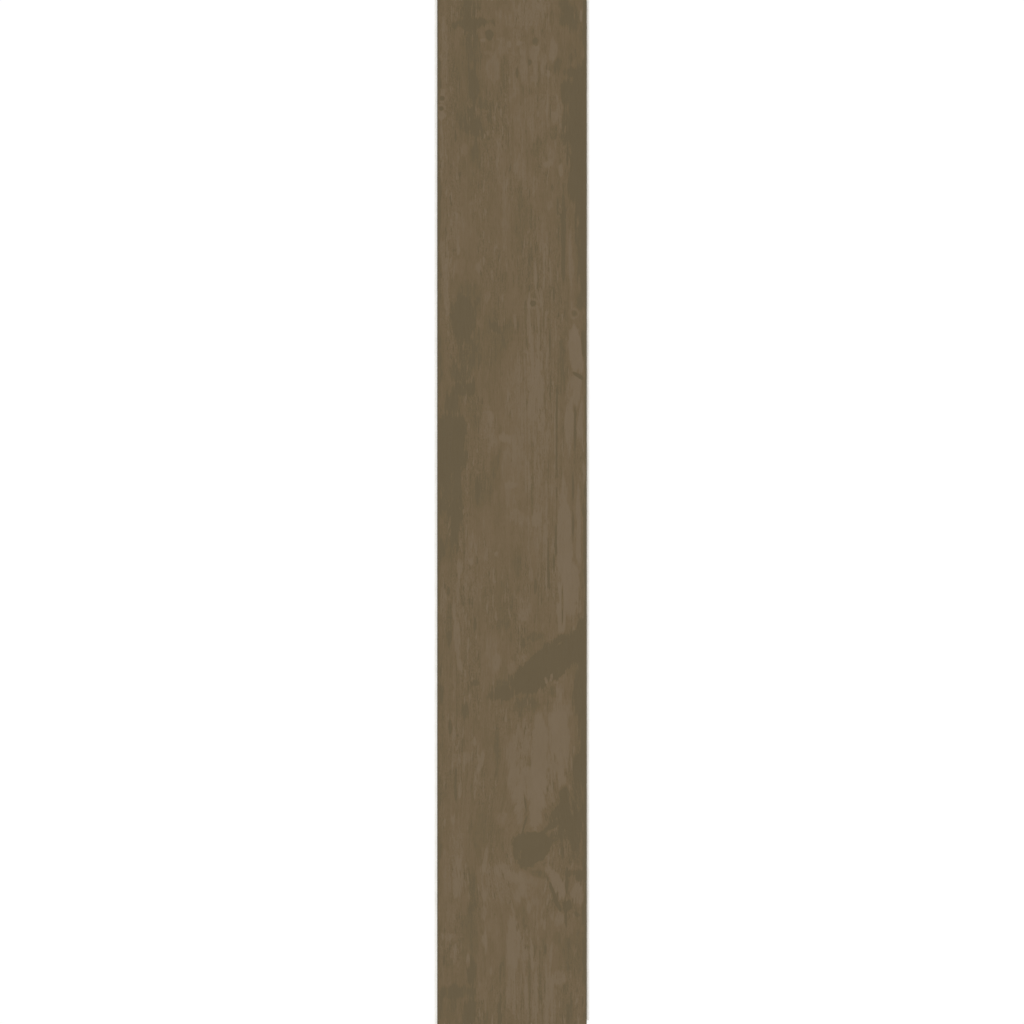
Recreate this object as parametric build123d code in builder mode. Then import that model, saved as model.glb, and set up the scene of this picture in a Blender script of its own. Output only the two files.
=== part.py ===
from build123d import *
import os

# Rigid core vinyl plank, lying face up, with a click lock milled into all four edges.
# X runs across the plank, Y along the grain and Z up. The origin is on the underside, below
# the middle of the wearing face. The joint lines are the outline of that face.
# The long edges angle together: the tongue points to -X and the lower lip to +X.
# The ends fold down: the end at -Y drops onto the lip of the end at +Y.

# Driving dimensions, in millimetres
face_width = 177.8
face_length = 1219.2
thickness = 5.0
bevel_width = 1.2
bevel_depth = 0.5

# Play between two planks that are locked together
lock_play = 0.05
free_end_play = 0.35

# Long edge, tongue: reach is counted outward from the joint line, heights from the underside
tongue_reach = 3.0
wall_over_tongue = 1.8
tongue_top_fall = 0.35
tongue_tip_height = 0.9
tongue_tip_radius = 0.3
bulge_reach = 1.3
bulge_radius = 0.6

# Long edge, lower lip with its hook
lip_reach = 2.8
lip_wall = 1.15
hook_height = 1.9
hook_flank_start = 0.3
hook_crest_start = 1.0
hook_crest_width = 0.8
hook_nose_height = 1.3
hook_radius = 0.2

# Ends, lower lip with its upright hook, and the rib that snaps in above it
end_channel_width = 2.3
end_hook_rise = 0.9
end_hook_width = 2.4
end_hook_draft = 0.15
end_hook_radius = 0.25
rib_reach = 0.25
rib_height = 0.8
rib_radius = 0.15
rib_rise = 0.35

# The end's channel is level with the crest of the long edge's hook, so that the cutter that
# mills the end leaves no loose crumb of that hook at the corner.
end_floor = hook_height
end_hook_top = end_floor + end_hook_rise

# How far an outline runs past the joint line into the board that it is added to or cut from
root = 0.2


def left_of_plank(outward, height):
    """A place near the long edge at -X, by its distance outward from the joint line."""
    return (-face_width / 2 - outward, height)


def right_of_plank(outward, height):
    """A place near the long edge at +X, by its distance outward from the joint line."""
    return (face_width / 2 + outward, height)


def near_end(outward, height):
    """A place near the end at -Y, by its distance outward from the joint line."""
    return (-face_length / 2 - outward, height)


def far_end(outward, height):
    """A place near the end at +Y, by its distance outward from the joint line."""
    return (face_length / 2 + outward, height)


def mirrored(place):
    """The same places counted inward: where the neighbour's edge comes into this one."""
    return lambda outward, height: place(-outward, height)


def tongue(place, play):
    """The tongue, or with play the slot for it: a sloping top, a round tip, a bulge below."""
    top = thickness - wall_over_tongue + play
    tip_top = top - tongue_top_fall
    tip_bottom = tip_top - 2 * play - tongue_tip_height
    bulge = lip_wall + lock_play - play
    FilletPolyline(
        place(-root, top),
        place(tongue_reach + play, tip_top),
        place(tongue_reach + play, tip_bottom),
        place(bulge_reach + play, bulge),
        place(-root, bulge),
        radius=[0, tongue_tip_radius, tongue_tip_radius, bulge_radius, 0],
        close=True,
    )


def lower_lip(place, play, end_play):
    """The lower lip with its hook, or with play the locking channel for it."""
    FilletPolyline(
        place(-root, -play),
        place(lip_reach + end_play, -play),
        place(lip_reach + end_play, hook_nose_height + play),
        place(hook_crest_start + hook_crest_width + play, hook_height + play),
        place(hook_crest_start - play, hook_height + play),
        place(hook_flank_start - play, lip_wall + play),
        place(-root, lip_wall + play),
        radius=[0, 0, hook_radius, hook_radius, hook_radius, hook_radius, 0],
        close=True,
    )


def end_lip(place, play, end_play):
    """The end's lower lip with its upright hook, or with play the channel for it."""
    hook_end = end_channel_width + end_hook_width + end_play
    FilletPolyline(
        place(-root, -play),
        place(hook_end, -play),
        place(hook_end, end_hook_top + play),
        place(end_channel_width + end_hook_draft - play, end_hook_top + play),
        place(end_channel_width - play, end_floor + play),
        place(-root, end_floor + play),
        radius=[0, 0, end_hook_radius, end_hook_radius, end_hook_radius, 0],
        close=True,
    )


def snap_rib(place, play):
    """The low rounded rib along the end's joint face, or with play the recess for it."""
    bottom = end_floor + rib_rise - play
    top = bottom + rib_height + 2 * play
    FilletPolyline(
        place(-root, bottom),
        place(0, bottom),
        place(rib_reach + play, (bottom + top) / 2),
        place(0, top),
        place(-root, top),
        radius=[0, 0, rib_radius, 0, 0],
        close=True,
    )


with BuildPart() as plank:
    # Section across the plank, run along the grain: painted bevels, tongue and lower lip
    with BuildSketch(Plane.XZ) as cross_section:
        with BuildLine():
            Polyline(
                left_of_plank(0, 0),
                right_of_plank(0, 0),
                right_of_plank(0, thickness - bevel_depth),
                right_of_plank(-bevel_width, thickness),
                left_of_plank(-bevel_width, thickness),
                left_of_plank(0, thickness - bevel_depth),
                close=True,
            )
        make_face()
        with BuildLine():
            lower_lip(mirrored(left_of_plank), lock_play, free_end_play)
        make_face(mode=Mode.SUBTRACT)
        with BuildLine():
            tongue(left_of_plank, 0)
        make_face()
        with BuildLine():
            lower_lip(right_of_plank, 0, 0)
        make_face()
        with BuildLine():
            tongue(mirrored(right_of_plank), lock_play)
        make_face(mode=Mode.SUBTRACT)
    extrude(amount=face_length, both=True)

    # Section along the plank: what both long cutters left is milled again across its ends
    with BuildSketch(Plane.YZ) as long_section:
        with BuildLine():
            Polyline(
                near_end(0, 0),
                far_end(0, 0),
                far_end(0, thickness),
                near_end(0, thickness),
                close=True,
            )
        make_face()
        with BuildLine():
            end_lip(mirrored(near_end), lock_play, free_end_play)
        make_face(mode=Mode.SUBTRACT)
        with BuildLine():
            snap_rib(near_end, 0)
        make_face()
        with BuildLine():
            end_lip(far_end, 0, 0)
        make_face()
        with BuildLine():
            snap_rib(mirrored(far_end), lock_play)
        make_face(mode=Mode.SUBTRACT)
    extrude(amount=face_width, both=True, mode=Mode.INTERSECT)

plank.part.label = "plank"

os.makedirs("parts", exist_ok=True)
export_step(plank.part, "parts/plank.step")
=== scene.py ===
import functools
import math
from collections import namedtuple

import bmesh
import bpy
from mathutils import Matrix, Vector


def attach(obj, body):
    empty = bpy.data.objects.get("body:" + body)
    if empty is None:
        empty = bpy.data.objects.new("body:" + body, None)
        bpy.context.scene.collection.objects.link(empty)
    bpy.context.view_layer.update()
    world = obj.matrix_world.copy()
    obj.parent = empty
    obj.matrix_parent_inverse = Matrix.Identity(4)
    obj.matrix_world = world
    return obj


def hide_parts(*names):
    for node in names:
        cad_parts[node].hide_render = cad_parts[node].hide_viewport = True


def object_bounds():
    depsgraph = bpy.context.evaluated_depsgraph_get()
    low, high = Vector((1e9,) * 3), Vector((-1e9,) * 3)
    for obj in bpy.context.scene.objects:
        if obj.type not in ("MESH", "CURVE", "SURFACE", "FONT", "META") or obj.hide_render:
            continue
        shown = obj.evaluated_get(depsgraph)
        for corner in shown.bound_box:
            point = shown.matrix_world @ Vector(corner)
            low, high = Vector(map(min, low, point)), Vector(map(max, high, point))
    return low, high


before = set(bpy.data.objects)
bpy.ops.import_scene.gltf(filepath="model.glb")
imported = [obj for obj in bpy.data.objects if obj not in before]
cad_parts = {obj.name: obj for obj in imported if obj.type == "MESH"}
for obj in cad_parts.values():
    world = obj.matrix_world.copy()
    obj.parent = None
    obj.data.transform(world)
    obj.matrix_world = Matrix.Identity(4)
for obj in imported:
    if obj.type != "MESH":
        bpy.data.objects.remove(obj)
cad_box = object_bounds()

# Rigid core vinyl plank: a printed and embossed face, painted bevels, milled lock edges.
# Metres, in the row frame: X across the grain, Y along it, Z up out of the face.

MM = 0.001

# The grid that carries the embossing, and the upward part of a level and a sloped normal
CELL_ACROSS = 1.2 * MM
CELL_ALONG = 2.0 * MM
WELD = 0.002 * MM
LEVEL, SLOPED = 0.99, 0.5
SHARP_ANGLE = 20

# How deep the face is pressed in, the shares of it in grain lines and in knots, and finer relief
EMBOSS_DEPTH = 0.11 * MM
LINE_SHARE, KNOT_SHARE = 0.7, 0.8
PORE_DEPTH = 0.05 * MM
CORE_RELIEF = 0.01 * MM

# The plank's joint lines, from which the face is unwrapped and framed
FACE_HALF_LENGTH = 609.6 * MM
JOINT_HALF_WIDTH = 88.9 * MM

# Places in the UV square: the two halves of the face, then a strip for all the rest
UV_EDGE = 0.006
HALVES = ((0.006, 0.436), (0.446, 0.876))
STRIP = (0.886, 0.994)
ISLAND_ANGLE, ISLAND_GAP = 66, 0.004

# The studio
LENS, SENSOR = 200.0, 36.0
CLIP_DISTANCES = 4
FRAME_CROP = 0.8 * MM
FLOOR_SIZE, FLOOR_DROP = 30.0, 0.2 * MM
FLOOR_GREY, FLOOR_LIFT = 0.6, 0.45
WORLD_LIGHT = 0.5
LAMP_AZIMUTHS = (0, 90, 180, 270)
LAMP_STRENGTH, LAMP_TILT, LAMP_SPREAD = 0.43, 35, 40
LOWER_LAMP_STRENGTH, LOWER_LAMP_TILT = 0.43, 145

# The print's tones, as sRGB: level near 0, 1, 2 and 3 and steeper between, as printed wood is
PRINT_TONES = {
    -5.0: (96, 83, 59),
    -0.6: (97, 84, 60),
    0.3: (98, 85, 61),
    0.7: (103, 88, 62),
    1.3: (105, 89, 63),
    1.7: (109, 92, 67),
    2.3: (111, 94, 69),
    2.7: (113, 97, 74),
    3.4: (115, 99, 76),
    7.0: (117, 101, 79),
}
MEAN_TONE = 1.69
PORE_TONE, VALLEY_TONE = -0.8, -0.3

# The painted bevels, the edge of the printed film, the bare core and the underside, as sRGB
BEVEL_COLOURS = {-2.0: (92, 80, 60), -0.5: (96, 84, 62), 1.0: (100, 87, 65)}
BEVEL_MEAN_TONE = -0.6
FILM_COLOUR = (126, 112, 92)
FILM_BOTTOM, FILM_BLUR = 4.6 * MM, 0.02 * MM
CORE_COLOURS = {0.3: (233, 230, 223), 0.5: (244, 242, 236), 0.7: (250, 248, 244)}
BACK_COLOURS = {0.3: (204, 201, 194), 0.5: (218, 215, 208), 0.7: (227, 225, 219)}
RUB_COLOUR = (186, 183, 177)

# The core's specks and clouds: scale and detail of the noise, and their shares of the colour
SPECKS, CLOUDS = (1200.0, 2.0), (60.0, 3.0)
SPECK_SHARE, CLOUD_SHARE = 0.6, 0.4

# Gloss: a pair is the roughness at the low and at the high end of what varies it
SPECULAR = 0.2
FACE_ROUGHNESS = (0.46, 0.6)
BEVEL_ROUGHNESS = 0.5
EDGE_ROUGHNESS = (0.7, 0.45)
BACK_ROUGHNESS = (0.6, 0.7)
NOISE_RANGE = (0.3, 0.7)

# Waves of noise: size of their features across and along the grain in millimetres, detail,
# roughness, shift, and the change from their lowest to their highest place
SHIFT_SHARES = (1.0, 0.7, 1.3)
Wave = namedtuple("Wave", "across along detail rough shift amount", defaults=(1.0,))
# Sideways sway of the grain, in metres
SWAY = Wave(90, 420, 1.0, 0.5, 3.1, 10 * MM)
WOBBLE = Wave(14, 60, 2.0, 0.5, 8.4, 2.2 * MM)
# What frays the outlines of marks and knots, as a share of their size
TEETH = Wave(2.6, 20, 3.0, 0.6, 1.7, 1.7)
LOBES = Wave(10, 32, 2.0, 0.5, 11.8, 1.9)
KNOT_FRAY = Wave(5, 6, 3.0, 0.6, 2.9, 0.8)
# The wood's own tones, from broad to fine, and where the fine ones are strong
WOOD_WAVES = [
    Wave(26, 200, 2.0, 0.5, 4.4, 0.9),
    Wave(11, 34, 3.0, 0.55, 9.1, 1.5),
    Wave(4.5, 30, 3.0, 0.6, 15.5, 1.7),
]
BUSY_WOOD = Wave(22, 80, 2.0, 0.5, 27.1)
FINE_GRAIN = Wave(1.9, 18, 3.0, 0.65, 17.2, 1.6)
SPECKLE = Wave(1.5, 2.4, 1.0, 0.5, 19.9, 2.0)
STRAIGHT_LINES = Wave(2.0, 130, 1.0, 0.5, 23.5, 5.5)
FIBRES = Wave(0.7, 30, 2.0, 0.6, 38.0, 0.7)
# Relief and gloss, and the grain of the bevels and of the underside
THREADS = Wave(0.9, 40, 2.0, 0.6, 36.0, 1.6)
SHEEN = Wave(2.5, 30, 2.0, 0.5, 30.0)
BEVEL_GRAIN = Wave(1.5, 30, 3.0, 0.6, 40.0, 1.2)
RUBS = Wave(5, 140, 3.0, 0.6, 50.0)

# Spots that show only where noise passes a level: as a wave, then where a spot starts,
# where it is full, and its value there
Spots = namedtuple("Spots", "across along detail rough shift start full value")
VALLEYS = Spots(3.4, 85, 2.0, 0.55, 21.0, 0.52, 0.34, 1.0)
PORES = Spots(0.5, 7, 2.0, 0.55, 33.0, 0.45, 0.36, 1.0)
FLECKS = [
    Spots(2.6, 20, 2.0, 0.5, 61.0, 0.6, 0.68, 1.3),
    Spots(2.2, 17, 2.0, 0.5, 64.0, 0.38, 0.3, -1.5),
    Spots(1.1, 9, 1.0, 0.5, 67.0, 0.4, 0.3, -1.1),
]

# How strongly fine grain shows: where its noise turns, the weakest and strongest, in lined wood
BUSY_RANGE, BUSY_STRENGTH, BUSY_LINED = (0.42, 0.64), (0.3, 1.7), 1.5
# How far rub marks on the underside cover it
WORN_RANGE, WORN_MOST = (0.55, 0.75), 0.35

# Knots, by distance from the centre with 1 on the outline, and how the grain flows round them
KNOT_RINGS, RING_CONTRAST = 16.0, 0.35
KNOT_CORE, KNOT_PIT = (0.8, 1.1), (0.8, 1.2)
HALO_INSIDE, HALO_OUTSIDE = (1.05, 1.4), (1.6, 2.5)
FLOW_ACROSS, FLOW_ALONG, FLOW_PULL = 2.2, 4.5, -0.5

# The face's material comes in equal stretches, each with only the marks that reach into it
STRETCHES = 8
BEVEL, EDGE, BACK = range(STRETCHES, STRETCHES + 3)

# Marks: their furthest reach in their own sizes, and how far they are strengthened and frayed
MARK_REACH, MARK_STRENGTH, FRAYING = 2.0, 1.25, 2.8

Mark = namedtuple("Mark", "x y across along tone lean edge", defaults=(0, 0.35))

# Marks of the print, and strips of painted shade along the long edges: centre, half width and
# half length in millimetres, change of tone, lean in degrees, and how much of the radius the edge
# takes
EDGE_SHADE_MARKS = [
    # Painted shade: the face darkened in a strip along each long edge, beside both bevels
    Mark(-90, 0, 4.2, 900, -1.7, 0, 0.45),
    Mark(90, 0, 3.4, 900, -1.5, 0, 0.45),
]

FAR_END_MARKS = [
    # Dark corner and bar beside the first knot, and what surrounds them
    Mark(-51, 600, 10, 15, -1.4),
    Mark(-47, 580, 20, 6, -1.5),
    Mark(-33, 583, 12, 6, -2.0),
    Mark(-80, 560, 4, 46, 0.8),
    Mark(-46, 552, 12, 18, -0.8),
    Mark(-14, 584, 6, 13, 0.5),
    Mark(21, 592, 24, 20, 1.0),
    Mark(37, 603, 8, 8, 0.8),
    Mark(47, 588, 3, 9, -1.2),
    Mark(70, 586, 11, 15, -1.4),
    Mark(62, 604, 6, 7, -1.0),
    Mark(88, 578, 4, 38, -1.8),
    Mark(82, 589, 1.6, 8, 2.4),
    # Light flecks below them
    Mark(-35, 561, 4, 2.5, 1.2),
    Mark(-14, 562, 4, 2.5, 0.9),
    Mark(-12, 551, 7, 8, 0.9),
    Mark(-23, 527, 9, 19, 1.0, 0, 0.25),
    Mark(-28, 546, 6, 4, 0.8),
    Mark(0, 540, 5, 60, 0.5),
    Mark(-3, 556, 3, 4, 1.3),
    Mark(8, 557, 4, 4, 1.5),
    Mark(12, 552, 5, 8, 0.8),
    Mark(9, 568, 5, 9, 0.7),
    Mark(13, 528, 4, 17, 1.2),
    Mark(28, 518, 5, 9, 1.2),
    Mark(18, 500, 9, 7, -0.7),
    Mark(26, 541, 5, 17, 1.5),
    Mark(37, 530, 4, 15, 1.2),
    Mark(50, 548, 5, 13, 1.9),
    Mark(43, 521, 3.5, 4, 1.6),
    Mark(22, 535, 2.5, 4, -2.2),
    Mark(6, 523, 1.8, 6, -1.9),
    Mark(-9, 520, 5, 24, -0.6),
    Mark(54, 533, 4, 11, -1.1),
    Mark(48, 526, 4, 7, -0.8),
    Mark(70, 523, 10, 7, -1.4),
    # Smudges down the left
    Mark(-57, 505, 18, 66, -0.4),
    Mark(-46, 506, 6, 20, -1.6),
    Mark(-44, 529, 1.6, 10, -1.5),
    Mark(-47, 463, 11, 17, -1.8),
    Mark(-32, 484, 12, 8, -1.0),
    Mark(-41, 424, 6, 18, -0.9),
    Mark(-38, 450, 6, 8, -0.9),
    Mark(-27, 473, 3, 10, -1.2),
    Mark(-57, 431, 4, 8, 0.9),
    Mark(-67, 446, 1.4, 6, -1.4),
    Mark(-84, 500, 4, 3, 1.6),
    Mark(-83, 471, 5, 5, 2.6),
    Mark(-84, 430, 2.2, 34, 1.5),
    # Light wood right of the middle
    Mark(25, 477, 24, 28, 0.6),
    Mark(42, 483, 1.6, 19, 1.5),
    Mark(57, 474, 4, 16, 1.4),
    Mark(49, 468, 4, 9, 1.1),
    Mark(31, 472, 2, 5, 1.2),
    Mark(50, 451, 6, 9, -0.9),
    Mark(45.5, 477, 0.9, 17, -2.0),
    Mark(5, 430, 4, 38, 0.7),
    Mark(46, 423, 9, 15, 0.9),
    Mark(42, 414, 5, 5, 1.2),
    Mark(58, 407, 2.5, 6, 1.6),
    Mark(31, 434, 6, 11, -0.7, -20),
    Mark(38, 412, 4, 10, 0.7),
    Mark(10, 410, 6, 12, 0.7),
    Mark(60, 447, 4, 9, -1.1),
    Mark(-12, 412, 8, 38, 0.7),
    Mark(-8, 451, 4, 9, -0.8),
    # Dark band along the right edge
    Mark(98, 480, 36, 64, -2.6, 0, 0.2),
    Mark(93, 430, 27, 40, -2.2, 0, 0.2),
    Mark(94, 400, 25, 72, -2.4, 0, 0.2),
    Mark(94, 320, 16, 66, -2.4, 0, 0.2),
]

ABOVE_MIDDLE_MARKS = [
    # Soft light and dark wood
    Mark(-46, 364, 6, 7, 0.6),
    Mark(-65, 339, 15, 20, 0.7),
    Mark(-77, 308, 2, 13, 1.6),
    Mark(-64, 311, 1.6, 6, 1.5),
    Mark(-62, 292, 8, 9, 0.7),
    Mark(-39, 290, 4, 6, 1.0),
    Mark(-78, 256, 3, 36, 1.3, 3),
    Mark(-29, 256, 3, 9, 0.9, -18),
    Mark(-7, 350, 5, 48, 0.6),
    Mark(20, 393, 8, 13, 0.6),
    Mark(16, 338, 14, 42, -0.5),
    Mark(-82, 312, 5, 14, 1.0),
    Mark(37, 328, 6, 26, 0.8),
    # Long dark line, with light lines beside it
    Mark(61, 320, 2.2, 53, -1.9),
    Mark(50, 260, 1.3, 9, -1.7),
    Mark(54, 363, 1.3, 10, -1.3),
    Mark(45, 365, 4, 7, 0.8),
    Mark(29, 315, 3, 6, -1.0),
    Mark(69, 295, 3.5, 42, 1.0),
    Mark(28, 284, 1.8, 20, 2.2),
    Mark(38, 284, 1.8, 24, 2.0),
    Mark(45, 287, 1.3, 16, 1.6),
    # Dark wood on the left
    Mark(-52, 262, 13, 13, -0.8),
    Mark(-59, 230, 14, 23, -2.2, 0, 0.2),
    Mark(-54, 182, 12, 26, -1.2),
    Mark(-42, 200, 5, 22, -1.1),
    Mark(-40, 238, 3, 12, -1.0),
    Mark(-68, 168, 5, 12, -1.0),
    Mark(-22, 205, 10, 40, -0.6),
    Mark(-4, 214, 6, 18, -0.9),
    Mark(-20, 220, 5, 7, -1.4, 30),
    # Lines round and under the ringed knot
    Mark(33, 256, 4, 10, 1.5),
    Mark(33, 236, 4, 14, 1.0),
    Mark(33, 292, 2, 14, 0.9),
    Mark(31, 205, 1.6, 38, 1.7),
    Mark(20, 232, 2.0, 28, 1.8),
    Mark(24, 190, 3, 28, 1.4),
    Mark(17, 176, 3.5, 14, 0.9),
    Mark(7, 222, 1.2, 9, -1.3),
    Mark(4, 226, 1.2, 8, 1.3),
    Mark(40, 229, 1.3, 14, 1.5),
    Mark(45.3, 197, 0.8, 18, -2.6),
    Mark(38, 175, 3, 44, 1.0),
    Mark(43, 172, 2, 24, 0.8),
    Mark(48, 235, 10, 50, 0.4),
    # Bright streak on the right that a dark line splits
    Mark(75, 193, 7.5, 25, 2.4, 0, 0.15),
    Mark(73, 212, 6, 8, 1.8),
    Mark(84, 202, 1.8, 14, -3.0),
    Mark(82, 176, 3, 10, 1.8),
    Mark(77, 142, 6, 22, 1.9, 0, 0.25),
    Mark(79, 162, 6, 2.0, -4.6, -33),
    Mark(68, 106, 6, 28, 1.8, 0, 0.25),
    Mark(81, 108, 4, 24, 1.8),
    Mark(75, 102, 1.5, 30, -2.6),
    Mark(61, 178, 4, 34, -0.8),
    Mark(68, 145, 3, 11, 0.9),
    Mark(84, 254, 5, 12, -1.2),
]

MIDDLE_MARKS = [
    # Small dark patches on the left
    Mark(-56, 146, 14, 8, -1.8),
    Mark(-70, 129, 10, 12, -1.5),
    Mark(-46, 152, 1.8, 10, -1.3),
    Mark(-45, 116, 7, 15, -0.6),
    # Large dark patch at the left edge, which trails off
    Mark(-80, 78, 26, 37, -2.4, 0, 0.15),
    Mark(-62, 99, 9, 14, -1.9, 0, 0.2),
    Mark(-72, 14, 13, 36, -1.2),
    Mark(-69, -6, 7, 18, -1.0),
    Mark(-76, -44, 14, 14, -0.7),
    Mark(-86, -42, 6, 14, -1.2),
    # Light wood in the middle
    Mark(-27, 104, 10, 22, 0.8),
    Mark(-25, 111, 3.5, 10, 1.2),
    Mark(-19, 80, 4, 12, 0.8),
    Mark(60, 78, 4, 12, 0.8),
    Mark(-8, 88, 9, 5, 1.5, -30),
    Mark(11, 120, 20, 60, 0.7),
    Mark(29, 148, 9, 46, 1.2, 0, 0.25),
    Mark(4, 42, 17, 38, 0.7, 0, 0.2),
    Mark(-19, 60, 5, 19, -0.6),
    Mark(-34, 29, 15, 18, -0.7),
    Mark(-41, 28, 2.5, 9, -1.2),
    Mark(-2, 32, 9, 4, 0.9),
    Mark(8, -6, 10, 9, 0.9),
    Mark(27, 56, 1.2, 28, 1.3),
    Mark(32, 52, 1.2, 24, 1.3),
    Mark(34, 18, 9, 26, 0.8),
    Mark(29, -8, 5, 8, 1.6),
    # Long thin lines towards the right
    Mark(45.6, 146, 0.9, 25, -2.0),
    Mark(51, 92, 1.1, 30, 1.5),
    Mark(53, 64, 1.3, 84, -1.9),
    Mark(41, -25, 1.6, 52, 1.7),
    Mark(43, -59, 1.5, 25, -2.4),
    Mark(52, -32, 1.5, 20, -2.2),
    Mark(50, -60, 1.3, 10, -1.8),
    Mark(87, 46, 3, 16, 1.4),
    Mark(37, 88, 7, 22, 0.9),
    Mark(72.5, 28, 1.4, 20, -2.4),
    Mark(72.5, -15, 1.4, 18, -3.4),
    Mark(79, -30, 3.2, 44, 1.6),
    # Bright streak on the right and the dark rim beyond it
    Mark(62, -42, 9, 64, 2.2, 0, 0.25),
    Mark(68, -88, 13, 36, 2.0, 0, 0.2),
    Mark(58, -128, 5, 17, 1.8),
    Mark(60, -105, 1.1, 24, -4.5),
    Mark(89, -50, 4.5, 90, -2.2),
    # Light wood and specks on the left
    Mark(-46, -34, 6, 8, 0.7),
    Mark(-31, -20, 6, 28, 0.4),
    Mark(-53, -88, 6, 20, 0.7),
    Mark(-40, -46, 12, 14, 0.5, -15),
    Mark(-19, -50, 2, 3, 1.3),
    Mark(-49, -59, 2.6, 4, 1.4),
    Mark(-62, -66, 3, 9, 1.4),
    Mark(-66, -108, 4, 28, 0.9),
    Mark(-81, -108, 4, 28, 0.8),
    Mark(-76, -94, 2.5, 7, -1.9),
    Mark(-58, -103, 1.7, 9, -1.5),
    Mark(-50, -98, 2, 15, -1.1, -5),
    # Light and dark wood about the middle
    Mark(7, -62, 5, 19, -0.7),
    Mark(26, -38, 7, 30, 0.7),
    Mark(34, -24, 5, 16, 0.8),
    Mark(-11, -112, 15, 28, -0.6),
    Mark(-40, -92, 4, 14, 0.7),
    Mark(28, -88, 1.7, 9, -1.8),
    Mark(23, -73, 2.2, 8, 1.3),
    Mark(14, -116, 10, 16, 1.1),
]

SMEAR_MARKS = [
    # The slanting smear, widest where it leaves the dark right edge
    Mark(84, -161, 18, 21, -3.4, 0, 0.15),
    Mark(84, -138, 7, 12, -2.8, 0, 0.2),
    Mark(42, -182, 54, 18, -3.4, 35, 0.13),
    Mark(17, -203, 18, 15, -3.2, 30, 0.2),
    Mark(-10, -216, 17, 8, -2.6, 12, 0.3),
    Mark(-12, -208, 13, 8, -0.9),
    Mark(18, -229, 15, 12, -1.0),
    Mark(24, -149, 12, 5, -0.9, 10),
    Mark(14, -156, 3.5, 6, -1.6),
    Mark(15, -173, 6, 4, 1.0, 40),
    Mark(40.5, -200, 2.0, 4, 4.2, 15),
    Mark(46.5, -197, 1.8, 5, 4.2, -15),
    Mark(55, -155, 13, 7, -2.8, 35),
    Mark(49, -214, 6, 7, -0.9),
    Mark(56, -157, 6, 1.6, 5.0, 40),
    Mark(59, -200, 10, 17, 0.6),
    Mark(49, -246, 6, 14, 1.6),
    Mark(70, -233, 4, 10, 0.8),
    # Dark right edge below it
    Mark(88, -215, 15, 36, -2.8, 0, 0.2),
    Mark(90, -262, 9, 44, -2.2),
    Mark(84, -308, 12, 22, -2.0),
    Mark(75, -293, 5, 12, -1.3),
    # Left of the smear
    Mark(-65, -155, 3, 32, 1.8, 6),
    Mark(-75, -131, 4, 28, -0.8),
    Mark(-74, -151, 2.5, 7, -1.5),
    Mark(-44, -134, 1.6, 8, -1.9),
    Mark(-13, -135, 12, 6, -0.4),
    Mark(-24, -168, 8, 22, 0.8),
    Mark(-19, -176, 4, 9, 0.7),
    Mark(1, -184, 4, 9, 0.9),
    Mark(-85, -219, 5, 11, -2.2),
    Mark(-45, -203, 6, 4, -1.2),
    Mark(-56, -238, 4, 10, -1.5),
    Mark(-73, -256, 2.2, 7, -1.6),
    Mark(-69, -266, 1.8, 10, 1.2),
    Mark(-44, -273, 2.5, 6, 1.4),
    Mark(-60, -293, 14, 7, 0.9),
    Mark(-36, -295, 3, 12, 1.5, -14),
    Mark(-18, -280, 4, 34, -0.6),
]

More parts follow.
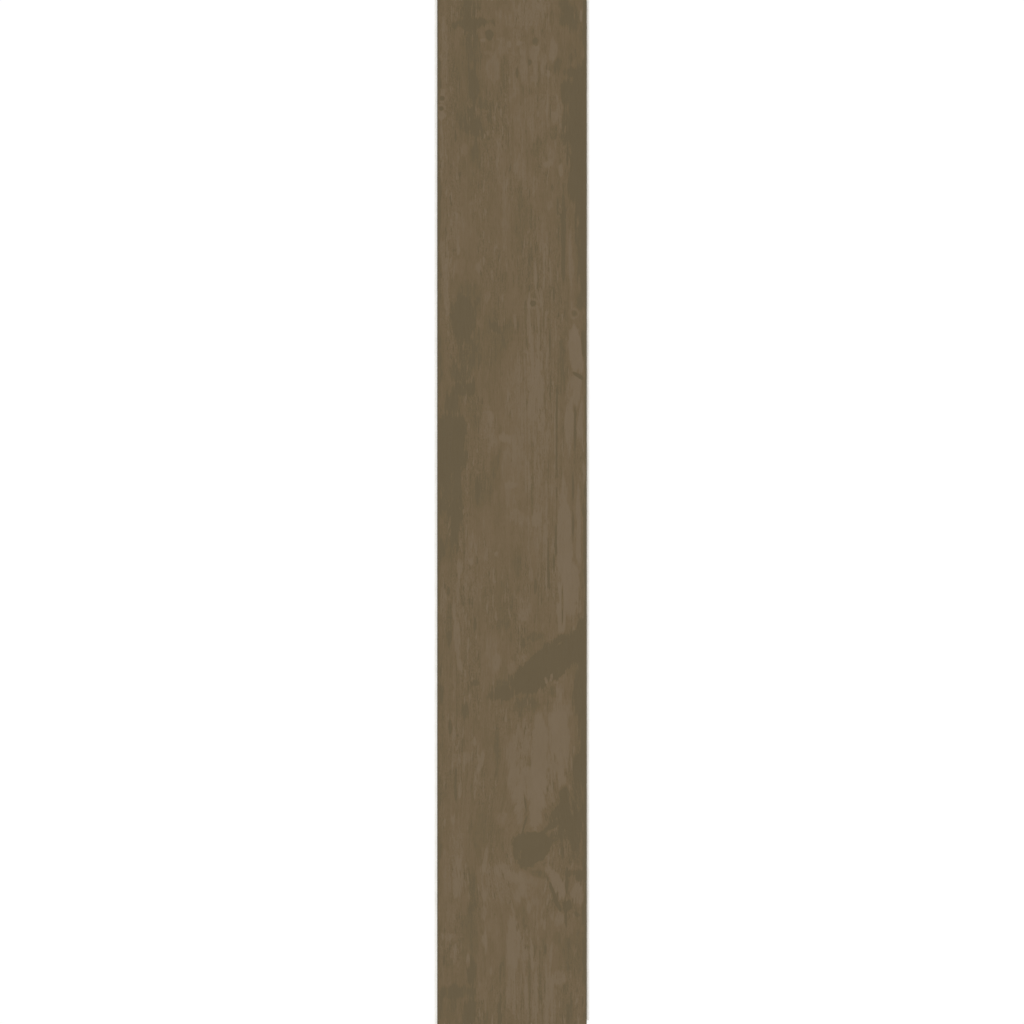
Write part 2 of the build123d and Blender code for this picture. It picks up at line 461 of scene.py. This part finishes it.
KNOT_MARKS = [
    # Two bright streaks that run down to the knot
    Mark(34, -292, 9, 51, 1.9, 0, 0.25),
    Mark(57, -268, 12, 46, 1.9, 0, 0.25),
    Mark(18, -264, 5, 28, 0.9),
    Mark(7, -288, 13, 30, 1.3, 0, 0.25),
    Mark(18, -322, 24, 20, 1.5, 0, 0.25),
    Mark(8, -340, 9, 15, 1.2),
    Mark(28, -347, 9, 24, 1.9, 0, 0.25),
    Mark(-12, -364, 8, 9, 0.9),
    Mark(10, -358, 5, 16, 0.9),
    Mark(46, -336, 5, 9, 0.9),
    Mark(60, -318, 5, 14, 1.4),
    Mark(43, -320, 2.4, 14, -2.2),
    Mark(16, -347, 1.2, 13, -2.8, 8),
    Mark(15, -371, 1.3, 11, -3.4, -15),
    # The dark arm right of the knot
    Mark(62, -344, 5, 20, -2.6),
    Mark(55, -355, 4, 15, -2.4, -35),
    Mark(66, -362, 9, 14, -2.6),
    Mark(48, -373, 4, 14, -2.2, -55),
    Mark(61, -381, 10, 11, -1.7),
    Mark(50, -387, 6, 9, -1.2),
    Mark(74, -412, 8, 9, -0.6),
    Mark(74, -378, 8, 24, -2.6, 0, 0.25),
    Mark(90, -395, 5, 66, -2.4),
    Mark(79, -345, 8, 22, -0.7),
    Mark(60, -405, 1.4, 8, -2.0),
    # Crack that leaves the knot, and the small knot at its end
    Mark(47.5, -448, 1.9, 13, -3.2, 20),
    Mark(54, -466, 2.0, 9, -3.0, 24),
    Mark(67, -468, 6.5, 6, -2.8),
    Mark(76, -478, 6, 3, -1.6, -35),
    Mark(65, -442, 1.8, 12, -2.6),
    Mark(64, -484, 1.5, 9, -2.2),
    Mark(74, -429, 9, 4, -1.2),
    Mark(80, -434, 5, 5, -1.9),
    Mark(65, -429, 4, 5, -1.8),
    Mark(53, -440, 6.5, 19, 3.0, 24, 0.25),
    Mark(77, -454, 7, 13, 1.8, 0, 0.25),
    Mark(54, -484, 6.5, 10, 1.3),
    # The knot's slanting edge and the grey wood below it
    Mark(32, -406, 7, 16, -3.0, -43, 0.2),
    Mark(4, -402, 3.5, 12, -2.0),
    Mark(30, -430, 11, 4.5, -1.1, -12),
    # Light wood under the knot
    Mark(0, -444, 38, 22, 0.8, 0, 0.3),
    Mark(-30, -424, 8, 5, 0.9),
    Mark(-11, -425, 10, 8, 1.5, -15),
    Mark(3, -435, 13, 8, 1.4, -20),
    Mark(11, -449, 7, 12, 1.3),
    Mark(28, -484, 9, 26, 0.7),
    Mark(37, -480, 4, 14, 0.7),
    # Left of the knot
    Mark(-67, -327, 1.5, 17, -1.9),
    Mark(-62, -331, 2, 13, 1.9),
    Mark(-44, -326, 1.8, 14, 1.6),
    Mark(-70, -366, 2.8, 7, 1.3),
    Mark(-65, -386, 9, 28, 0.5, -6),
    Mark(-31, -385, 18, 30, -0.5),
    Mark(-32, -415, 2.2, 18, 1.8, -8),
    Mark(-66, -438, 7, 23, 1.9, 0, 0.25),
    Mark(-78, -440, 5, 26, 0.7),
    Mark(-47, -452, 6, 25, -0.9),
    Mark(-68, -474, 8, 18, 0.6),
]

NEAR_END_MARKS = [
    # Light streaks, and the dark lines and rim beside them
    Mark(2, -514, 10, 30, 1.9, 0, 0.25),
    Mark(13, -523, 6, 23, 1.1),
    Mark(0, -562, 6, 42, 1.0, 0, 0.25),
    Mark(7, -493, 1.6, 5, -2.0),
    Mark(17, -493, 1.6, 5, -1.4),
    Mark(20, -470, 1.8, 6, 1.4),
    Mark(24, -524, 2.2, 22, 1.7, 5),
    Mark(27, -540, 4, 10, 1.3),
    Mark(28, -580, 3, 36, 2.1),
    Mark(45, -580, 7, 32, 1.7),
    Mark(47, -524, 3, 11, 1.6),
    Mark(55, -553, 7, 10, 1.3),
    Mark(42, -540, 5, 24, 0.7),
    Mark(17, -571, 1.3, 17, 1.3),
    Mark(33, -562, 2, 40, -0.6),
    Mark(40, -521, 1.6, 6, -2.0),
    Mark(54, -507, 5, 8, -0.9),
    Mark(72, -525, 15, 22, -0.7),
    Mark(64, -568, 3, 8, -0.9),
    Mark(68, -592, 4, 16, -1.3),
    Mark(89, -545, 4, 70, -1.5),
    Mark(87, -480, 4, 14, -1.3),
    # Lines and specks on the left
    Mark(-33, -478, 2, 8, 1.4),
    Mark(-33, -458, 2, 6, 1.3),
    Mark(-65, -478, 2, 10, -0.8),
    Mark(-25, -495, 10, 13, 0.6),
    Mark(-32, -507, 3, 9, 1.5),
    Mark(-31, -518, 1.3, 9, 1.2),
    Mark(-74, -505, 12, 5, 0.9),
    Mark(-52, -502, 10, 28, -0.6),
    Mark(-52, -533, 2.2, 9, 2.2),
    Mark(-69, -524, 2.6, 10, 1.2),
    Mark(-76, -530, 8, 12, -0.7),
    Mark(-25, -545, 2, 7, 1.2),
    Mark(-81, -533, 1.6, 6, -1.4),
    Mark(-14, -548, 2, 16, -1.5),
    Mark(-14, -595, 2.4, 24, -1.6),
    Mark(-35, -568, 7, 12, 0.7),
    # Dark wood down the left
    Mark(-49, -546, 5, 16, -1.8),
    Mark(-71, -571, 22, 8, -1.2),
    Mark(-76, -592, 14, 20, -0.7),
    Mark(-47, -571, 4, 8, -1.4),
    Mark(-51, -597, 7, 18, -2.0),
    Mark(-31, -600, 4, 10, -0.8),
]

# Places where the grain shows as fine straight lines and dashes, with how strongly it does
LINED_WOOD = [
    Mark(36, 140, 26, 200, 0.8, 0, 0.5),
    Mark(24, -585, 32, 80, 0.8, 0, 0.5),
    Mark(30, 490, 32, 90, 0.4, 0, 0.5),
    Mark(-60, -200, 24, 170, 0.4, 0, 0.5),
]

# The print's marks, with the painted shade along the long edges among them
MARKS = (EDGE_SHADE_MARKS + FAR_END_MARKS + ABOVE_MIDDLE_MARKS + MIDDLE_MARKS
         + SMEAR_MARKS + KNOT_MARKS + NEAR_END_MARKS)

Knot = namedtuple("Knot", "x y across along tone ring")

# Knots: centre, half width and half length in millimetres, tone, tone of the light ring
KNOTS = [
    Knot(-27, 567, 5.2, 6.6, -3.0, 0.3),
    Knot(28, 559, 4.2, 5.6, -2.2, 0.3),
    Knot(-83, 492, 2.8, 2.8, -2.6, 1.6),
    Knot(-84, 480, 2.6, 2.6, -2.8, 1.6),
    Knot(25, 248, 3.4, 3.4, -4.0, 1.4),
    Knot(74, 236, 3.2, 3.4, -1.2, 1.0),
    Knot(24, -393, 23.5, 13, -3.0, 0.3),
    Knot(17, -407, 14, 17.5, -3.0, 0.3),
]


def srgb(colour):
    """Linear colour of an sRGB one written 0 to 255."""
    def linear(v):
        v /= 255
        return v / 12.92 if v <= 0.04045 else ((v + 0.055) / 1.055) ** 2.4
    return tuple(linear(v) for v in colour) + (1.0,)


class Fields:
    """Scalar and vector fields made of nodes, alike in a material and in a geometry tree."""

    def __init__(self, tree):
        self.tree = tree

    def node(self, kind, inputs=(), **settings):
        made = self.tree.nodes.new(kind)
        for name, value in settings.items():
            setattr(made, name, value)
        for key, value in dict(inputs).items():
            self.put(made.inputs[key], value)
        return made

    def put(self, socket, value):
        if isinstance(value, bpy.types.NodeSocket):
            self.tree.links.new(value, socket)
        else:
            socket.default_value = value

    def math(self, operation, a, b=0.0, c=0.0):
        return self.node("ShaderNodeMath", {0: a, 1: b, 2: c}, operation=operation).outputs[0]

    def add(self, a, b):
        return self.math("ADD", a, b)

    def times(self, a, b):
        return self.math("MULTIPLY", a, b)

    def vector(self, operation, a, b=(0, 0, 0), c=(0, 0, 0)):
        made = self.node("ShaderNodeVectorMath", {0: a, 1: b, 2: c}, operation=operation)
        return made.outputs["Value" if operation in ("LENGTH", "DOT_PRODUCT") else "Vector"]

    def remap(self, value, low, high, to_low=0.0, to_high=1.0, smooth=True):
        made = self.node("ShaderNodeMapRange", {0: value, 1: low, 2: high, 3: to_low, 4: to_high})
        made.interpolation_type = "SMOOTHSTEP" if smooth else "LINEAR"
        return made.outputs[0]

    def noise(self, point, n):
        """The noise of a wave or of spots, from 0 to 1."""
        scaled = self.vector("MULTIPLY", point, (1 / (n.across * MM), 1 / (n.along * MM), 0))
        moved = self.vector("ADD", scaled, tuple(n.shift * share for share in SHIFT_SHARES))
        settings = {"Vector": moved, "Scale": 1.0, "Detail": n.detail, "Roughness": n.rough}
        return self.node("ShaderNodeTexNoise", settings).outputs[0]

    def wave(self, point, wave):
        """A wave about zero: half of its amount each way."""
        return self.times(self.add(self.noise(point, wave), -0.5), wave.amount)

    def spots(self, point, spots):
        return self.remap(self.noise(point, spots), spots.start, spots.full, 0.0, spots.value)

    def radius(self, point, x, y, across, along, lean=0):
        """Distance from a centre, 1 on the outline of the leaning ellipse round it."""
        if lean:
            turn = {"Vector": point, "Center": (x * MM, y * MM, 0), "Angle": -math.radians(lean)}
            point = self.node("ShaderNodeVectorRotate", turn, rotation_type="Z_AXIS").outputs[0]
        scale = (1 / (across * MM), 1 / (along * MM), 0)
        centred = self.vector("MULTIPLY_ADD", point, scale, (-x / across, -y / along, 0))
        return self.vector("LENGTH", centred)

    def mark(self, point, fray, m):
        """What a mark adds here. The softer its edge is, the further it is frayed."""
        distance = self.radius(point, m.x, m.y, m.across, m.along, m.lean)
        frayed = self.math("MULTIPLY_ADD", fray, m.edge * FRAYING, distance)
        return self.remap(frayed, 1 - m.edge, 1 + m.edge, m.tone * MARK_STRENGTH, 0.0)


def flattened(f, point):
    """The place seen straight from above, so that the print doesn't change with height."""
    return f.vector("MULTIPLY", point, (1, 1, 0))


def object_point(f):
    return f.node("ShaderNodeTexCoord").outputs["Object"]


def grain_point(f, point):
    """The place in straight grain that this place of the print shows: grain flows round knots."""
    flat = flattened(f, point)
    shift = f.add(f.wave(flat, SWAY), f.wave(flat, WOBBLE))
    for knot in KNOTS:
        reach = f.radius(flat, knot.x, knot.y, knot.across * FLOW_ACROSS, knot.along * FLOW_ALONG)
        pull = f.math("EXPONENT", f.times(f.times(reach, reach), -1.0))
        local = f.vector("SUBTRACT", flat, (knot.x * MM, 0, 0))
        inward = f.times(f.vector("DOT_PRODUCT", local, (1, 0, 0)), FLOW_PULL)
        shift = f.add(shift, f.times(inward, pull))
    moved = f.node("ShaderNodeCombineXYZ", {0: shift}).outputs[0]
    return f.vector("ADD", flat, moved)


def knot_radius(f, point, fray, knot):
    return f.add(f.radius(point, knot.x, knot.y, knot.across, knot.along), fray)


def knot_marks(f, point):
    """Tone of the knots: a dark core with faint growth rings, and lighter wood round it."""
    flat = flattened(f, point)
    fray = f.wave(flat, KNOT_FRAY)
    core = halo = 0.0
    for knot in KNOTS:
        distance = knot_radius(f, flat, fray, knot)
        rings = f.times(f.math("SINE", f.times(distance, KNOT_RINGS)), RING_CONTRAST)
        dark = f.times(f.remap(distance, *KNOT_CORE, 1.0, 0.0), f.add(rings, knot.tone))
        light = f.times(f.remap(distance, *HALO_INSIDE, 0.0, knot.ring),
                        f.remap(distance, *HALO_OUTSIDE, 1.0, 0.0))
        core = f.math("MINIMUM", core, dark)
        halo = f.math("MAXIMUM", halo, light)
    return f.add(core, halo)


def face_relief(f, point):
    """How deep the face is pressed in, from 0 to 1: along the grain lines and in the knots."""
    grain = grain_point(f, point)
    depth = f.times(f.spots(grain, VALLEYS), LINE_SHARE)
    for knot in KNOTS:
        distance = knot_radius(f, grain, 0.0, knot)
        depth = f.math("MAXIMUM", depth, f.remap(distance, *KNOT_PIT, KNOT_SHARE, 0.0))
    return f.math("MINIMUM", depth, 1.0)


def flecks(f, grain):
    """Light and dark dashes along the grain, in a few sizes."""
    total = 0.0
    for spots in FLECKS:
        total = f.add(total, f.spots(grain, spots))
    return total


def lined_wood(f, flat, fray):
    lined = 0.0
    for m in LINED_WOOD:
        lined = f.math("MAXIMUM", lined, f.mark(flat, fray, m))
    return lined


def wood_tone(f, flat, grain, fray):
    """The tone of the wood that the print shows, without its marks and knots."""
    tone = MEAN_TONE
    for wave in WOOD_WAVES:
        tone = f.add(tone, f.wave(grain, wave))
    lined = lined_wood(f, flat, fray)
    busy = f.remap(f.noise(grain, BUSY_WOOD), *BUSY_RANGE, *BUSY_STRENGTH)
    busy = f.math("MAXIMUM", busy, f.times(lined, BUSY_LINED))
    fine = f.add(f.wave(grain, FINE_GRAIN), f.wave(flat, SPECKLE))
    tone = f.add(tone, f.times(fine, busy))
    tone = f.add(tone, f.times(f.wave(grain, STRAIGHT_LINES), lined))
    tone = f.add(tone, f.wave(grain, FIBRES))
    tone = f.add(tone, f.times(f.spots(grain, PORES), PORE_TONE))
    tone = f.add(tone, f.times(flecks(f, grain), busy))
    return f.add(tone, f.times(f.spots(grain, VALLEYS), VALLEY_TONE))


def printed_wood():
    """A node group with what all stretches of the face share."""
    tree = bpy.data.node_groups.new("printed wood", "ShaderNodeTree")
    for name in ("Tone", "Fray", "Sheen", "Height"):
        tree.interface.new_socket(name, in_out="OUTPUT", socket_type="NodeSocketFloat")
    f = Fields(tree)
    point = object_point(f)
    flat = flattened(f, point)
    grain = grain_point(f, point)
    fray = f.add(f.wave(grain, TEETH), f.wave(grain, LOBES))
    f.node("NodeGroupOutput", {
        "Tone": f.add(wood_tone(f, flat, grain, fray), knot_marks(f, point)),
        "Fray": fray,
        "Sheen": f.noise(grain, SHEEN),
        "Height": f.add(f.times(f.spots(grain, PORES), -1.0), f.wave(grain, THREADS)),
    })
    return tree


def fresh_fields(owner):
    """Fields in the emptied tree of a material or a world."""
    owner.use_nodes = True
    owner.node_tree.nodes.clear()
    return Fields(owner.node_tree)


def material(name, build):
    made = bpy.data.materials.new(name)
    f = fresh_fields(made)
    shader = f.node("ShaderNodeBsdfPrincipled")
    f.node("ShaderNodeOutputMaterial", {"Surface": shader.outputs[0]})
    shader.inputs["Specular IOR Level"].default_value = SPECULAR
    build(f, shader)
    return made


def ramp(f, value, stops):
    """Colour by value, from stops of {value: sRGB colour}."""
    low, high = min(stops), max(stops)
    position = f.remap(value, low, high, smooth=False)
    made = f.node("ShaderNodeValToRGB", {0: position})
    elements = made.color_ramp.elements
    for index, (at, colour) in enumerate(sorted(stops.items())):
        place = (at - low) / (high - low)
        stop = elements[index] if index < 2 else elements.new(place)
        stop.position = place
        stop.color = srgb(colour)
    return made.outputs[0]


def blend(f, share, first, second):
    made = f.node("ShaderNodeMix", {"Factor": share, "A": first, "B": second}, data_type="RGBA")
    return made.outputs["Result"]


def bump(f, shader, height, depth):
    """Relief that is finer than the mesh."""
    made = f.node("ShaderNodeBump", {"Height": height, "Distance": depth, "Strength": 1.0})
    f.put(shader.inputs["Normal"], made.outputs[0])


def printed_face(f, shader, wood, marks):
    fields = f.node("ShaderNodeGroup", node_tree=wood).outputs
    flat = flattened(f, object_point(f))
    tone = fields["Tone"]
    # The marks add the print's tones and the painted shade along the long edges
    for m in marks:
        tone = f.add(tone, f.mark(flat, fields["Fray"], m))
    f.put(shader.inputs["Base Color"], ramp(f, tone, PRINT_TONES))
    f.put(shader.inputs["Roughness"], f.remap(fields["Sheen"], *NOISE_RANGE, *FACE_ROUGHNESS))
    bump(f, shader, fields["Height"], PORE_DEPTH)


def painted_bevel(f, shader):
    tone = f.add(f.wave(object_point(f), BEVEL_GRAIN), BEVEL_MEAN_TONE)
    f.put(shader.inputs["Base Color"], ramp(f, tone, BEVEL_COLOURS))
    shader.inputs["Roughness"].default_value = BEVEL_ROUGHNESS


def even_noise(f, point, scale, detail):
    """Noise that is alike in every direction."""
    settings = {"Vector": point, "Scale": scale, "Detail": detail}
    return f.node("ShaderNodeTexNoise", settings).outputs[0]


def core_colour(f, point, stops):
    """Pale mineral core: fine specks in faint clouds."""
    speck = even_noise(f, point, *SPECKS)
    cloud = even_noise(f, point, *CLOUDS)
    value = f.add(f.times(speck, SPECK_SHARE), f.times(cloud, CLOUD_SHARE))
    return speck, ramp(f, value, stops)


def mineral_core(f, shader):
    """The milled edges: bare core, with the edge of the printed film along the top."""
    point = object_point(f)
    speck, core = core_colour(f, point, CORE_COLOURS)
    height = f.node("ShaderNodeSeparateXYZ", {0: point}).outputs["Z"]
    film = f.remap(height, FILM_BOTTOM - FILM_BLUR, FILM_BOTTOM + FILM_BLUR)
    f.put(shader.inputs["Base Color"], blend(f, film, core, srgb(FILM_COLOUR)))
    f.put(shader.inputs["Roughness"], f.remap(film, 0.0, 1.0, *EDGE_ROUGHNESS))
    bump(f, shader, speck, CORE_RELIEF)


def plain_back(f, shader):
    """The underside: the core's pressed skin, a little greyer, with faint rub marks."""
    point = object_point(f)
    speck, core = core_colour(f, point, BACK_COLOURS)
    rubs = f.noise(point, RUBS)
    worn = f.remap(rubs, *WORN_RANGE, 0.0, WORN_MOST)
    f.put(shader.inputs["Base Color"], blend(f, worn, core, srgb(RUB_COLOUR)))
    f.put(shader.inputs["Roughness"], f.remap(rubs, *NOISE_RANGE, *BACK_ROUGHNESS))
    bump(f, shader, speck, CORE_RELIEF)


def stretch_at(y):
    """Which stretch of the face a place along the grain is in."""
    share = (y + FACE_HALF_LENGTH) / (2 * FACE_HALF_LENGTH)
    return min(max(int(share * STRETCHES), 0), STRETCHES - 1)


def marks_in(stretch):
    """The marks that reach into a stretch, frayed as far as they may be."""
    half = FACE_HALF_LENGTH / MM / STRETCHES
    middle = (2 * stretch + 1 - STRETCHES) * half
    return [m for m in MARKS if abs(m.y - middle) < half + MARK_REACH * max(m.across, m.along)]


def add_materials(board):
    """The materials, in the order of their indices."""
    wood = printed_wood()
    made = []
    for stretch in range(STRETCHES):
        build = functools.partial(printed_face, wood=wood, marks=marks_in(stretch))
        made.append(material(f"printed face {stretch}", build))
    made.append(material("painted bevel", painted_bevel))
    made.append(material("milled core", mineral_core))
    made.append(material("plain back", plain_back))
    for each in made:
        board.data.materials.append(each)


def steps(low, high, cell):
    """Places from low to high at equal steps of about one cell."""
    count = max(1, round((high - low) / cell))
    return [low + (high - low) * i / count for i in range(count + 1)]


def cut_edge(edge, axis, places):
    """Cuts an edge of the rim wherever the grid's places along an axis fall inside it."""
    start, end = sorted(edge.verts, key=lambda v: v.co[axis])
    low, high = start.co[axis], end.co[axis]
    for place in places:
        if low + WELD < place < high - WELD:
            share = (place - start.co[axis]) / (high - start.co[axis])
            start = bmesh.utils.edge_split(edge, start, share)[1]


def find_top(bm, top):
    """The flat face and the bevels of the milled board."""
    face = {f for f in bm.faces if all(v.co.z > top - WELD for v in f.verts)}
    bevels = {f for f in bm.faces if f not in face and f.normal.z > SLOPED
              and max(v.co.z for v in f.verts) > top - WELD}
    bevels |= {f for b in bevels for e in b.edges for f in e.link_faces if SLOPED < f.normal.z < LEVEL}
    return face, bevels


def cut_rim(bm, across, along, face_y):
    """Cuts the rim of the opened top at the grid's places, so that the grid can be welded to it."""
    for edge in [e for e in bm.edges if e.is_boundary]:
        runs_along = abs(edge.verts[0].co.y - edge.verts[1].co.y) > face_y
        if runs_along:
            cut_edge(edge, 1, along)
        else:
            cut_edge(edge, 0, across)


def add_grid(bm, across, along, face_x, height):
    """The new face and bevels, two cells to a bevel."""
    rows = [[bm.verts.new((x, y, height(x))) for x in across] for y in along]
    for near, far in zip(rows, rows[1:]):
        for i in range(len(across) - 1):
            cell = bm.faces.new((near[i], near[i + 1], far[i + 1], far[i]))
            outer = max(abs(across[i]), abs(across[i + 1]))
            middle = (near[i].co.y + far[i].co.y) / 2
            cell.material_index = BEVEL if outer > face_x + WELD else stretch_at(middle)


def board_mesh(cad):
    """A closed copy of the milled board whose face and bevels are a fine grid."""
    bm = bmesh.new()
    bm.from_mesh(cad.data)
    bmesh.ops.remove_doubles(bm, verts=bm.verts, dist=WELD)
    top = max(v.co.z for v in bm.verts)
    face, bevels = find_top(bm, top)
    face_x, face_y = (max(v.co[axis] for f in face for v in f.verts) for axis in (0, 1))
    joint_x = max(v.co.x for f in bevels for v in f.verts)
    joint_z = min(v.co.z for f in bevels for v in f.verts)
    bmesh.ops.delete(bm, geom=list(face | bevels), context="FACES")
    for f in bm.faces:
        lowest = f.normal.z < -LEVEL and f.calc_center_median().z < WELD
        f.material_index = BACK if lowest else EDGE

    def height(x):
        return top - max(0.0, abs(x) - face_x) / (joint_x - face_x) * (top - joint_z)

    half_bevel = (face_x + joint_x) / 2
    inner = steps(-face_x, face_x, CELL_ACROSS)
    across = [-joint_x, -half_bevel] + inner + [half_bevel, joint_x]
    along = steps(-face_y, face_y, CELL_ALONG)
    cut_rim(bm, across, along, face_y)
    add_grid(bm, across, along, face_x, height)
    bmesh.ops.remove_doubles(bm, verts=bm.verts, dist=WELD)
    wide = [f for f in bm.faces if len(f.verts) > 4]
    bmesh.ops.triangulate(bm, faces=wide)
    pressed = bm.verts.layers.float.new("pressed")
    for v in bm.verts:
        v[pressed] = 1.0 if v.co.z > top - WELD else 0.0
    mesh = bpy.data.meshes.new("board")
    bm.to_mesh(mesh)
    bm.free()
    return mesh


def press_grain(board):
    """Presses the grain into the face, downward only, by the fields that the print uses."""
    tree = bpy.data.node_groups.new("press grain", "GeometryNodeTree")
    for way in ("INPUT", "OUTPUT"):
        tree.interface.new_socket("Geometry", in_out=way, socket_type="NodeSocketGeometry")
    f = Fields(tree)
    source = f.node("NodeGroupInput").outputs[0]
    point = f.node("GeometryNodeInputPosition").outputs[0]
    pressed = f.node("GeometryNodeInputNamedAttribute", {"Name": "pressed"}).outputs["Attribute"]
    depth = f.times(f.times(face_relief(f, point), pressed), -EMBOSS_DEPTH)
    offset = f.node("ShaderNodeCombineXYZ", {"Z": depth}).outputs[0]
    moved = f.node("GeometryNodeSetPosition", {"Geometry": source, "Offset": offset})
    f.node("NodeGroupOutput", {0: moved.outputs[0]})
    modifier = board.modifiers.new("press grain", "NODES")
    modifier.node_group = tree
    bpy.context.view_layer.update()
    shown = board.evaluated_get(bpy.context.evaluated_depsgraph_get())
    mesh = bpy.data.meshes.new_from_object(shown)
    board.modifiers.clear()
    board.data = mesh
    bpy.data.node_groups.remove(tree)


def shade(board):
    """Smooth face and bevels, plain milled edges, and a crease at each sharp edge."""
    for p in board.data.polygons:
        p.use_smooth = p.material_index < EDGE
    board.data.set_sharp_from_angle(angle=math.radians(SHARP_ANGLE))


def between(ends, share):
    return ends[0] + share * (ends[1] - ends[0])


def face_uv(co, far_half):
    """Where a point of the face or a bevel goes: the far half of the plank beside the near one."""
    u = (co.x + JOINT_HALF_WIDTH) / (2 * JOINT_HALF_WIDTH)
    v = co.y / FACE_HALF_LENGTH + (0.0 if far_half else 1.0)
    return between(HALVES[far_half], u), between((UV_EDGE, 1 - UV_EDGE), v)


def unwrap(board):
    """A UV map for baking: the face in two halves side by side, everything else in a strip."""
    mesh = board.data
    bpy.context.view_layer.objects.active = board
    board.select_set(True)
    layer = mesh.uv_layers.new(name="OFBake")
    mesh.uv_layers.active = layer
    for p in mesh.polygons:
        p.select = p.material_index in (EDGE, BACK)
    bpy.ops.object.mode_set(mode="EDIT")
    bpy.ops.uv.smart_project(angle_limit=math.radians(ISLAND_ANGLE), island_margin=ISLAND_GAP)
    bpy.ops.object.mode_set(mode="OBJECT")
    uv = mesh.uv_layers["OFBake"].data
    for p in mesh.polygons:
        for loop in p.loop_indices:
            if p.material_index in (EDGE, BACK):
                u, v = uv[loop].uv
                uv[loop].uv = between(STRIP, u), between((UV_EDGE, 1 - UV_EDGE), v)
            else:
                co = mesh.vertices[mesh.loops[loop].vertex_index].co
                uv[loop].uv = face_uv(co, p.center.y > 0)


def make_board():
    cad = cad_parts["plank"]
    board = bpy.data.objects.new("embossed_plank", board_mesh(cad))
    bpy.context.scene.collection.objects.link(board)
    add_materials(board)
    press_grain(board)
    shade(board)
    unwrap(board)
    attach(board, "root")
    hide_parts("plank")


def seen_directly(f):
    """1 for what the camera sees, straight or in a reflection or through glass."""
    path = f.node("ShaderNodeLightPath").outputs
    seen = f.math("MAXIMUM", path["Is Camera Ray"], path["Is Glossy Ray"])
    return f.math("MAXIMUM", seen, path["Is Transmission Ray"])


def make_floor():
    """A white floor with the plank's shadow, seen from above and open to light from below."""
    bpy.ops.mesh.primitive_plane_add(size=FLOOR_SIZE, location=(0, 0, -FLOOR_DROP))
    floor = bpy.context.object
    floor.name = "floor"
    made = bpy.data.materials.new("floor")
    f = fresh_fields(made)
    direct = seen_directly(f)
    matt = f.node("ShaderNodeBsdfDiffuse", {"Color": (FLOOR_GREY, FLOOR_GREY, FLOOR_GREY, 1)})
    glow = f.node("ShaderNodeEmission", {"Strength": f.times(direct, FLOOR_LIFT)})
    both = f.node("ShaderNodeAddShader", {0: matt.outputs[0], 1: glow.outputs[0]})
    clear = f.node("ShaderNodeBsdfTransparent")
    above = f.math("SUBTRACT", 1.0, f.node("ShaderNodeNewGeometry").outputs["Backfacing"])
    seen = f.times(direct, above)
    shown = f.node("ShaderNodeMixShader", {0: seen, 1: clear.outputs[0], 2: both.outputs[0]})
    f.node("ShaderNodeOutputMaterial", {"Surface": shown.outputs[0]})
    floor.data.materials.append(made)


def make_world():
    world = bpy.data.worlds.new("studio")
    bpy.context.scene.world = world
    f = fresh_fields(world)
    strength = f.remap(seen_directly(f), 0.0, 1.0, WORLD_LIGHT, 1.0, smooth=False)
    sky = f.node("ShaderNodeBackground", {"Color": (1, 1, 1, 1), "Strength": strength})
    f.node("ShaderNodeOutputWorld", {"Surface": sky.outputs[0]})


def make_lights():
    """Wide soft lamps from all round, above and below."""
    for tilt, strength in ((LAMP_TILT, LAMP_STRENGTH), (LOWER_LAMP_TILT, LOWER_LAMP_STRENGTH)):
        for azimuth in LAMP_AZIMUTHS:
            lamp = bpy.data.lights.new(f"lamp {azimuth} {tilt}", "SUN")
            lamp.energy = strength
            lamp.angle = math.radians(LAMP_SPREAD)
            holder = bpy.data.objects.new(lamp.name, lamp)
            holder.rotation_euler = (math.radians(tilt), 0, math.radians(azimuth))
            bpy.context.scene.collection.objects.link(holder)


def make_camera():
    """Straight above the face, which fills the picture's height as in the photograph."""
    camera = bpy.data.cameras.new("camera")
    camera.lens = LENS
    camera.sensor_width = SENSOR
    top = cad_box[1].z
    away = (FACE_HALF_LENGTH - FRAME_CROP) / (SENSOR / 2 / LENS)
    holder = bpy.data.objects.new("camera", camera)
    holder.location = (0, 0, top + away)
    camera.clip_end = CLIP_DISTANCES * away
    bpy.context.scene.collection.objects.link(holder)
    bpy.context.scene.camera = holder


bpy.context.scene.view_settings.view_transform = "Standard"
make_camera()
make_world()
make_lights()
make_floor()
make_board()
